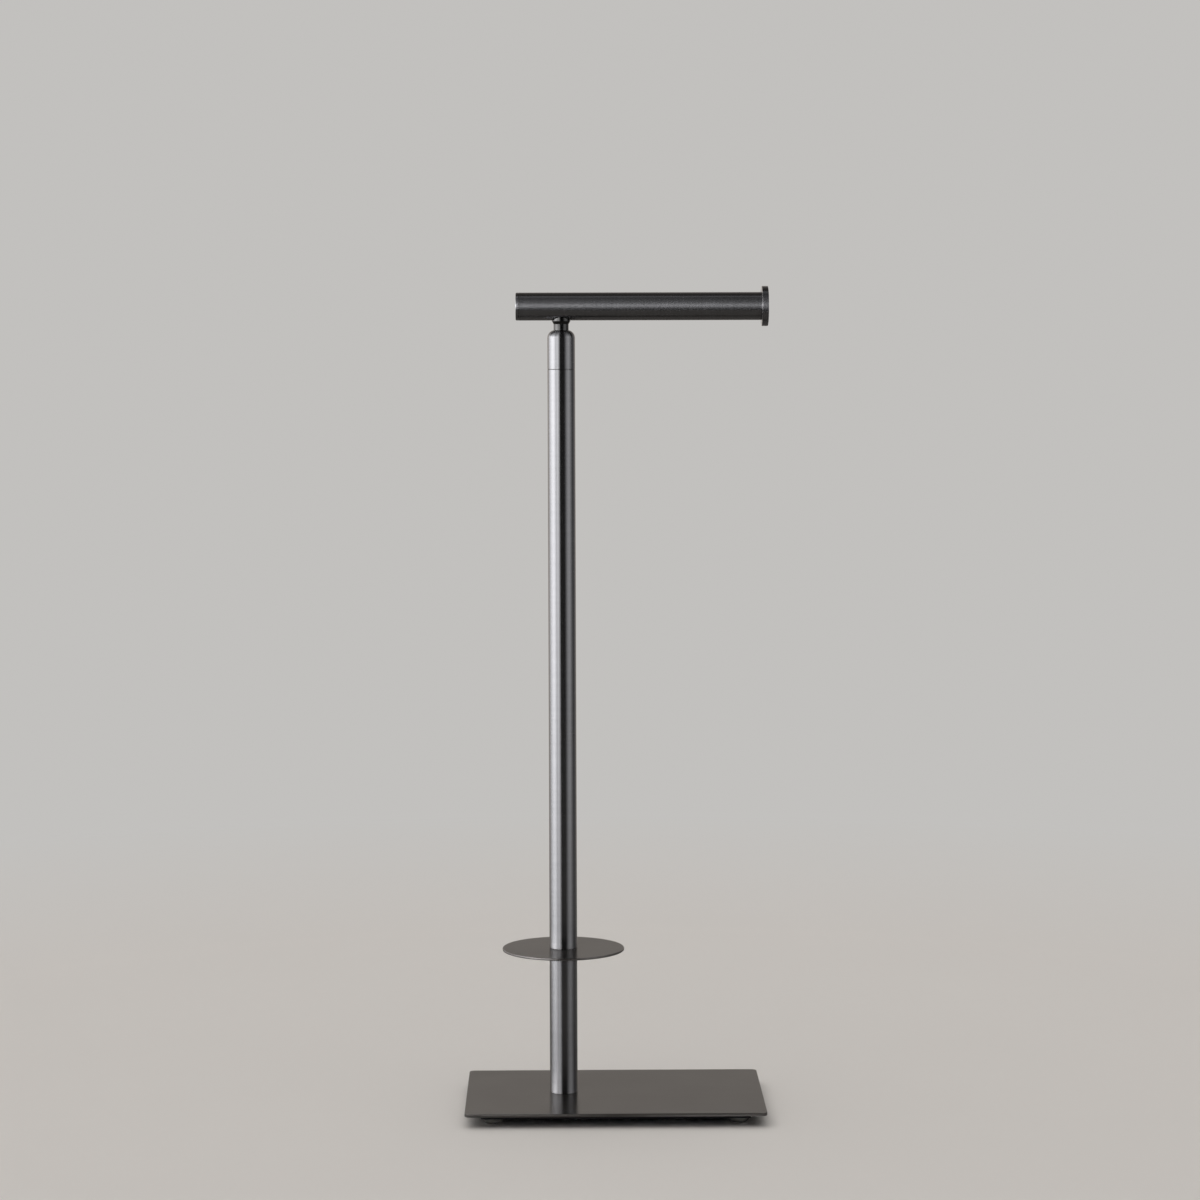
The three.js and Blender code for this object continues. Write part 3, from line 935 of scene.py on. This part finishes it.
cap = turned(
    "head_cap_brushed",
    [
        (SPIGOT_BORE, cap_low),
        (SPIGOT - SPIGOT_CHAMFER, cap_low),
        (SPIGOT, cap_low + SPIGOT_CHAMFER),
        *grooves,
        (SPIGOT, seam),
        (TUBE_RADIUS - RIM, seam),
        (TUBE_RADIUS, seam + RIM),
        *shoulder,
        (MOUTH, cap_high - MOUTH_CHAMFER),
        (MOUTH, web_top),
        (BUSH_SEAT, web_top),
        (BUSH_SEAT, web_low),
        (SPIGOT_BORE, web_low),
    ],
    (POST.x, POST.y, 0),
)
hand_over(cap, "head_cap", TUBE_FINISH)

# %% [markdown]
# ## The rings and the socket
#
# Two black rubber rings sit in the spigot's grooves and keep the head from
# rattling. Each is half a circle of section on a flat back, spun round. They slide
# in a nylon sleeve at the top of the post, whose mouth opens out like a funnel so
# that the spigot finds its way in.

# %% Rings on the spigot, and the socket they slide in
ring_inner = SPIGOT - GROOVE + 0.1 * MM
for node in RINGS:
    mid, half = middle(node).z, size(node).z / 2
    crown = arc((size(node).x / 2 - half, mid), half, -90, 90, 12)
    ring_section = [(ring_inner, mid - half), *crown, (ring_inner, mid + half)]
    hand_over(
        turned(f"{node}_rubber", ring_section, (POST.x, POST.y, 0)), node, RING_RUBBER
    )

FUNNEL_WIDTH = 0.8 * MM
FUNNEL_DEPTH = 1.6 * MM
socket_low, socket_high = low("socket_bush").z, high("socket_bush").z
socket_outer = size("socket_bush").x / 2
socket_inner = SPIGOT + GAP
bush = turned(
    "socket_bush_nylon",
    [
        (socket_inner, socket_low),
        (socket_outer, socket_low),
        (socket_outer, socket_high),
        (socket_inner + FUNNEL_WIDTH, socket_high),
        (socket_inner, socket_high - FUNNEL_DEPTH),
    ],
    (POST.x, POST.y, 0),
)
hand_over(bush, "socket_bush", NYLON)

# %% [markdown]
# ## The neck
#
# A short polished pin carries the arm. It opens out like a cone just under the arm,
# and its top is hollowed by a tube of the arm's own size, so it sits against the
# arm like a saddle. Below, the pin steps down and runs in its bush.

# %% Model the neck pin
neck_low, neck_high = low("neck_pin").z, high("neck_pin").z
arm_under = ARM.z - TUBE_RADIUS
COLLAR_HEIGHT = 3 * MM
collar_low = arm_under - COLLAR_HEIGHT
collar_radius = size("neck_pin").x / 2
pin_seat = web_top + BUSH_FLANGE + GAP
PIN_RADIUS = 5 * MM
PIN_CHAMFER = 0.2 * MM
KEEPER_BORE = 3 * MM
KEEPER_DEPTH = 14 * MM
SADDLE_DEPTH = 3 * MM
STUD_CHAMFER = 0.5 * MM
neck = turned(
    "neck_polished",
    [
        (0, neck_low + KEEPER_DEPTH),
        (KEEPER_BORE, neck_low + KEEPER_DEPTH),
        (KEEPER_BORE, neck_low),
        (PIN_RADIUS, neck_low),
        (PIN_RADIUS, pin_seat),
        (NECK_RADIUS - PIN_CHAMFER, pin_seat),
        (NECK_RADIUS, pin_seat + PIN_CHAMFER),
        (NECK_RADIUS, collar_low - 0.3 * MM),
        (NECK_RADIUS + 0.12 * MM, collar_low),
        (collar_radius - 0.25 * MM, arm_under - 0.95 * MM),
        (collar_radius - 0.05 * MM, arm_under - 0.75 * MM),
        (collar_radius, arm_under - 0.5 * MM),
        (collar_radius, arm_under + SADDLE_DEPTH),
        (STUD_RADIUS, arm_under + SADDLE_DEPTH),
        (STUD_RADIUS, neck_high - STUD_CHAMFER),
        (STUD_RADIUS - STUD_CHAMFER, neck_high),
        (0, neck_high),
    ],
    (POST.x, POST.y, 0),
)
SADDLE_LENGTH = 40 * MM
STUD_CUTTER = 60 * MM
neck_top_at = (POST.x, POST.y, ARM.z)
saddle_wall = TUBE_RADIUS - SADDLE_DEPTH
saddle = drawn_tube("saddle", TUBE_RADIUS + GAP, saddle_wall, SADDLE_LENGTH, neck_top_at, "X")
cut_away(saddle, rod("keep_stud", STUD_RADIUS, STUD_CUTTER, neck_top_at))
cut_away(neck, saddle)
hand_over(neck, "neck_pin", NECK_FINISH)

# %% [markdown]
# ## The arm
#
# The same tube as the post, laid across it. A hole in its underside lets the neck's
# stud through, and its cutter is too short to reach the upper wall. The cut edges
# are softened afterwards.

# %% Model the arm tube
arm_low, arm_high = low("arm_tube").x, high("arm_tube").x
ARM_EDGE = 0.2 * MM
ARM_CUTTER = 16 * MM
arm = drawn_tube("arm_tube_brushed", TUBE_RADIUS, WALL, arm_high - arm_low, ARM, "X")
cut_away(arm, rod("hole", STUD_HOLE, ARM_CUTTER, (POST.x, POST.y, arm_under)))
soften(arm, ARM_EDGE, segments=2)
hand_over(arm, "arm_tube", ARM_FINISH)

# %% [markdown]
# ## The end cap
#
# The free end is closed by a turned cap of the tube's own width, so all that shows
# is a fine joint line and a rounded rim that catches the light. A short hollow
# plug behind it presses into the tube.

# %% Model the end cap
cap_end, plug_end = low("arm_end_cap").x, high("arm_end_cap").x
END_RIM = 0.9 * MM
END_CROWN = 0.1 * MM
PLUG_RADIUS = BORE_RADIUS - GAP
PLUG_WALL = 1.5 * MM
PLUG_CHAMFER = 0.4 * MM
flat_radius = TUBE_RADIUS - END_RIM
end_crown = [(flat_radius * i / 6, cap_end + END_CROWN * (i / 6) ** 2) for i in range(6)]
end_rim = [
    (radius, cap_end + END_RIM - along)
    for radius, along in arc((flat_radius, 0), END_RIM - END_CROWN, 90, 0, 8)
]
end_cap = turned(
    "arm_end_cap_brushed",
    [
        *end_crown,
        *end_rim,
        (TUBE_RADIUS, arm_low - RIM),
        (TUBE_RADIUS - RIM, arm_low),
        (PLUG_RADIUS, arm_low),
        (PLUG_RADIUS, plug_end - PLUG_CHAMFER),
        (PLUG_RADIUS - PLUG_CHAMFER, plug_end),
        (PLUG_RADIUS - PLUG_WALL, plug_end),
        (PLUG_RADIUS - PLUG_WALL, arm_low),
        (0, arm_low),
    ],
    (0, ARM.y, ARM.z),
    "X",
)
hand_over(end_cap, "arm_end_cap", END_FINISH)

# %% [markdown]
# ## The end flange
#
# A turned disc pressed into the arm's other end, to stop the roll sliding off.
# Both rims are rounded, and its outer face is very slightly crowned, which a
# bevelled cylinder would not give, so it is drawn and spun too.

# %% Model the end flange
flange_low, flange_high = low("end_flange").x, high("end_flange").x
flange_radius = size("end_flange").z / 2
PLUG_TAPER = 2 * MM
CROWN = 0.15 * MM
ROUND = 0.6 * MM
INNER_ROUND = 0.3 * MM
inner_round = arc(
    (flange_radius - INNER_ROUND, arm_high + INNER_ROUND), INNER_ROUND, -90, 0, 6
)
outer_round = arc((flange_radius - ROUND, flange_high - CROWN - ROUND), ROUND, 0, 90, 6)
crown_shares = [1 - i / 8 for i in range(1, 9)]
crown_points = [
    ((flange_radius - ROUND) * share, flange_high - CROWN * share**2) for share in crown_shares
]
flange = turned(
    "end_flange_brushed",
    [
        (0, flange_low),
        (PLUG_RADIUS - PLUG_TAPER, flange_low),
        (PLUG_RADIUS, flange_low + PLUG_TAPER),
        (PLUG_RADIUS, arm_high),
        *inner_round,
        *outer_round,
        *crown_points,
    ],
    (0, ARM.y, ARM.z),
    "X",
)
hand_over(flange, "end_flange", END_FINISH)

# %% [markdown]
# ## Pieces kept from the engineering model
#
# The threaded inserts, studs, washers and bushes inside are already right in
# shape and are never seen whole, so they keep their engineering mesh and only
# change their material.

# %% Dress the inner pieces
inner_finishes = {
    "lower_tube_foot_insert": MACHINED,
    "lower_tube_head_insert": MACHINED,
    "upper_tube_foot_insert": MACHINED,
    "saddle_nut": MACHINED,
    "tray_stud": ZINC,
    "retaining_washer": ZINC,
    "neck_bush": NYLON,
    "friction_washer": NYLON,
}
for node, material in inner_finishes.items():
    for slot in frame["nodes"][node].material_slots:
        slot.material = material
print("dressed", len(inner_finishes), "inner pieces")

# %% [markdown]
# ## The keeper's screw
#
# One screw inside does show, from below, when the head is lifted off: it holds the
# washer that keeps the neck in the cap. The function for the post's bolt makes it.

# %% Model the keeper's screw
KEEPER_HEAD = 4 * MM
KEEPER_KEY = 4 * MM
keeper_shank = KEEPER_BORE - GAP
keeper = cap_screw(
    "retaining_screw_zinc", "retaining_screw", keeper_shank, KEEPER_HEAD, KEEPER_KEY
)
hand_over(keeper, "retaining_screw", ZINC)

# %% [markdown]
# ## The floor
#
# The stand is on a plain pale floor, one large plane, whose material fades into the
# plain background so that no far edge shows. The metal reflects it dimmed: a pale
# floor mirrored in the tubes would wash out their dark bands.

# %% The floor
BACKGROUND = (0.54, 0.53, 0.515)
FLOOR_COLOUR = (0.81, 0.79, 0.765)
FLOOR_HALF = 12.0
FADE_FROM = 0.9
FADE_TO = 1.8
REFLECTED_FLOOR = 0.25


def floor_material():
    material, tree, shader = new_material("pale_floor", Roughness=0.75)
    fine = noise(tree, object_place(tree), 45.0, detail=6.0)
    broad = noise(tree, object_place(tree), 3.0, detail=3.0)
    stone = blend_colours(tree, broad, FLOOR_COLOUR, tuple(c * 0.95 for c in FLOOR_COLOUR))
    speckled = blend_colours(tree, fine, stone, tuple(c * 0.97 for c in FLOOR_COLOUR))
    add_bump(tree, shader, fine, 0.1, 0.2 * MM)
    away = tree.nodes.new("ShaderNodeVectorMath")
    away.operation = "LENGTH"
    tree.links.new(object_place(tree), away.inputs[0])
    fade = remap(tree, away.outputs["Value"], FADE_FROM, FADE_TO, 0.0, 1.0)
    glow = tree.nodes.new("ShaderNodeEmission")
    glow.inputs["Color"].default_value = (*BACKGROUND, 1)
    clear = tree.nodes.new("ShaderNodeBsdfTransparent")
    far = tree.nodes.new("ShaderNodeMixShader")
    path = tree.nodes.new("ShaderNodeLightPath")
    dimmed = remap(tree, path.outputs["Is Glossy Ray"], 0.0, 1.0, 1.0, REFLECTED_FLOOR)
    tone = tree.nodes.new("ShaderNodeVectorMath")
    tone.operation = "SCALE"
    tree.links.new(speckled, tone.inputs[0])
    tree.links.new(dimmed, tone.inputs["Scale"])
    tree.links.new(tone.outputs[0], shader.inputs["Base Color"])
    tree.links.new(path.outputs["Is Camera Ray"], far.inputs["Fac"])
    tree.links.new(clear.outputs[0], far.inputs[1])
    tree.links.new(glow.outputs[0], far.inputs[2])
    near_and_far = tree.nodes.new("ShaderNodeMixShader")
    tree.links.new(fade, near_and_far.inputs["Fac"])
    tree.links.new(shader.outputs[0], near_and_far.inputs[1])
    tree.links.new(far.outputs[0], near_and_far.inputs[2])
    tree.links.new(near_and_far.outputs[0], tree.nodes["Material Output"].inputs["Surface"])
    return material


floor = start("floor", bpy.ops.mesh.primitive_plane_add, size=2 * FLOOR_HALF)
floor.data.materials.append(floor_material())

# %% [markdown]
# ## The studio
#
# The room that the metal reflects is a soft studio: a low bright lamp on the left,
# a dimmer one on the right, darkness in front and pale walls behind. That is what
# gives a brushed post its light and dark bands. It is all built in the world shader,
# as brightness round the horizon times brightness with height. What is dull, such
# as the floor, is lit by a plain soft dome instead, so its shadows stay soft.

# %% Brightness as ramps
def ramp(tree, value, stops):
    """A colour ramp from (position, brightness or colour) stops."""
    node = tree.nodes.new("ShaderNodeValToRGB")
    tree.links.new(value, node.inputs["Fac"])
    elements = node.color_ramp.elements
    while len(elements) < len(stops):
        elements.new(0.5)
    for element, (position, colour) in zip(elements, stops):
        element.position = position
        if not isinstance(colour, tuple):
            colour = (colour, colour, colour)
        element.color = (*colour, 1)
    return node.outputs["Color"]


def by_angle(tree, share, stops, most, scale=1):
    """A ramp whose stops are given in degrees from -most to most."""
    return ramp(tree, share, [((a + most) / (2 * most), b / scale) for a, b in stops])


# Brightness round the horizon, in degrees from straight in front: left is negative.
HORIZON = [
    (-180, 0.75),
    (-145, 0.8),
    (-125, 1.8),
    (-105, 5.6),
    (-85, 8.7),
    (-72, 9.7),
    (-60, 8.7),
    (-43, 4.0),
    (-34, 5.0),
    (-27, 3.7),
    (-18, 1.9),
    (-12, 0.06),
    (24, 0.06),
    (36, 0.65),
    (46, 1.4),
    (64, 1.8),
    (88, 0.6),
    (105, 0.2),
    (150, 0.7),
    (180, 0.75),
]
BRIGHTEST = max(brightness for angle, brightness in HORIZON)
# Share of that brightness with height, in degrees above the horizon.
HEIGHTS = [
    (-90, 0.03),
    (-28, 0.1),
    (-14, 0.34),
    (-5, 0.77),
    (5, 1.0),
    (12, 0.9),
    (20, 0.6),
    (30, 0.38),
    (48, 0.2),
    (68, 0.07),
    (90, 0.12),
]
# The lamp on the left is lower than the rest of the room.
LAMP_HEIGHTS = [
    (-90, 0.02),
    (-28, 0.05),
    (-12, 0.15),
    (-5, 0.45),
    (1, 0.95),
    (5, 1.0),
    (10, 0.75),
    (16, 0.35),
    (26, 0.15),
    (48, 0.06),
    (90, 0.08),
]
# Where the lamp's own heights are used, round the horizon.
LAMP_REACH = [(-180, 0), (-130, 0), (-112, 1), (-50, 1), (-40, 0), (180, 0)]
LAMP = (0.985, 0.995, 1.03)
BACK_WALL = (1.07, 1.0, 0.94)
WALL_FROM, WALL_FULL = 110, 140
# The soft light from above that falls on everything dull, with height.
DOME = [(-90, 0), (16, 0), (38, 0.6), (62, 1.0), (90, 1.0)]
DOME_TINT = (1.03, 1.0, 0.97)
DOME_STRENGTH = 1.05
LEFT_SHARE = 0.6


# %% The world shader
def build_world():
    """Glossy rays see the lamps, the camera a plain backdrop, all else the dome."""
    world = bpy.data.worlds.new("soft_studio")
    bpy.context.scene.world = world
    world.use_nodes = True
    world.cycles.sampling_method = "NONE"
    tree = world.node_tree
    tree.nodes.clear()
    direction = tree.nodes.new("ShaderNodeTexCoord").outputs["Generated"]
    parts = tree.nodes.new("ShaderNodeSeparateXYZ")
    tree.links.new(direction, parts.inputs[0])
    front = math_node(tree, "MULTIPLY", parts.outputs["Y"], -1.0)
    angle = math_node(tree, "ARCTAN2", parts.outputs["X"], front)
    round_share = remap(tree, angle, -math.pi, math.pi, 0.0, 1.0)
    horizon = by_angle(tree, round_share, HORIZON, 180, BRIGHTEST)
    lift = math_node(tree, "ARCSINE", parts.outputs["Z"])
    up_share = remap(tree, lift, -math.pi / 2, math.pi / 2, 0.0, 1.0)
    room = by_angle(tree, up_share, HEIGHTS, 90)
    lamp = by_angle(tree, up_share, LAMP_HEIGHTS, 90)
    on_lamp = by_angle(tree, round_share, LAMP_REACH, 180)
    height = blend_colours(tree, on_lamp, room, lamp)
    product = math_node(tree, "MULTIPLY", horizon, height)
    away = math_node(tree, "ABSOLUTE", angle)
    behind = remap(tree, away, math.radians(WALL_FROM), math.radians(WALL_FULL), 0.0, 1.0)
    lights = tree.nodes.new("ShaderNodeBackground")
    tree.links.new(blend_colours(tree, behind, LAMP, BACK_WALL), lights.inputs["Color"])
    tree.links.new(math_node(tree, "MULTIPLY", product, BRIGHTEST), lights.inputs["Strength"])
    dome = by_angle(tree, up_share, DOME, 90)
    side = remap(tree, parts.outputs["X"], -1.0, 1.0, 1.0 + LEFT_SHARE, 1.0 - LEFT_SHARE)
    soft = tree.nodes.new("ShaderNodeBackground")
    soft.inputs["Color"].default_value = (*DOME_TINT, 1)
    even = math_node(tree, "MULTIPLY", dome, side)
    tree.links.new(math_node(tree, "MULTIPLY", even, DOME_STRENGTH), soft.inputs["Strength"])
    seen = tree.nodes.new("ShaderNodeBackground")
    seen.inputs["Color"].default_value = (*BACKGROUND, 1)
    path = tree.nodes.new("ShaderNodeLightPath")
    shine = tree.nodes.new("ShaderNodeMixShader")
    tree.links.new(path.outputs["Is Glossy Ray"], shine.inputs["Fac"])
    tree.links.new(soft.outputs[0], shine.inputs[1])
    tree.links.new(lights.outputs[0], shine.inputs[2])
    mix = tree.nodes.new("ShaderNodeMixShader")
    tree.links.new(path.outputs["Is Camera Ray"], mix.inputs["Fac"])
    tree.links.new(shine.outputs[0], mix.inputs[1])
    tree.links.new(seen.outputs[0], mix.inputs[2])
    output = tree.nodes.new("ShaderNodeOutputWorld")
    tree.links.new(mix.outputs[0], output.inputs["Surface"])


build_world()
print("world", bpy.context.scene.world.name)

# %% [markdown]
# ## The camera
#
# A long lens stands three metres away at about the height of the arm and looks
# slightly down. From there the post stays straight and the plate shows its top.

# %% The camera
LENS = 100.0
SENSOR = 36.0
CAMERA_SIDE = 0.6 * MM
CAMERA_AWAY = 2.9855
CAMERA_HEIGHT = 0.702
CAMERA_DOWN = 0.0805
CAMERA_RIGHT = 0.0112
CAMERA_ROLL = -0.0027
camera_data = bpy.data.cameras.new("camera")
camera_data.lens = LENS
camera_data.sensor_width = SENSOR
camera = bpy.data.objects.new("camera", camera_data)
bpy.context.collection.objects.link(camera)
turn = (
    Matrix.Rotation(-CAMERA_RIGHT, 4, "Z")
    @ Matrix.Rotation(math.pi / 2 - CAMERA_DOWN, 4, "X")
    @ Matrix.Rotation(CAMERA_ROLL, 4, "Z")
)
camera_place = (POST.x + CAMERA_SIDE, POST.y - CAMERA_AWAY, CAMERA_HEIGHT)
camera.matrix_world = Matrix.Translation(camera_place) @ turn
bpy.context.scene.camera = camera
bpy.context.scene.view_settings.view_transform = "Standard"

# %% [markdown]
# ## The pieces made
#
# The number of pieces modelled again is printed.

# %% Count the pieces made
print("pieces made", len(made))
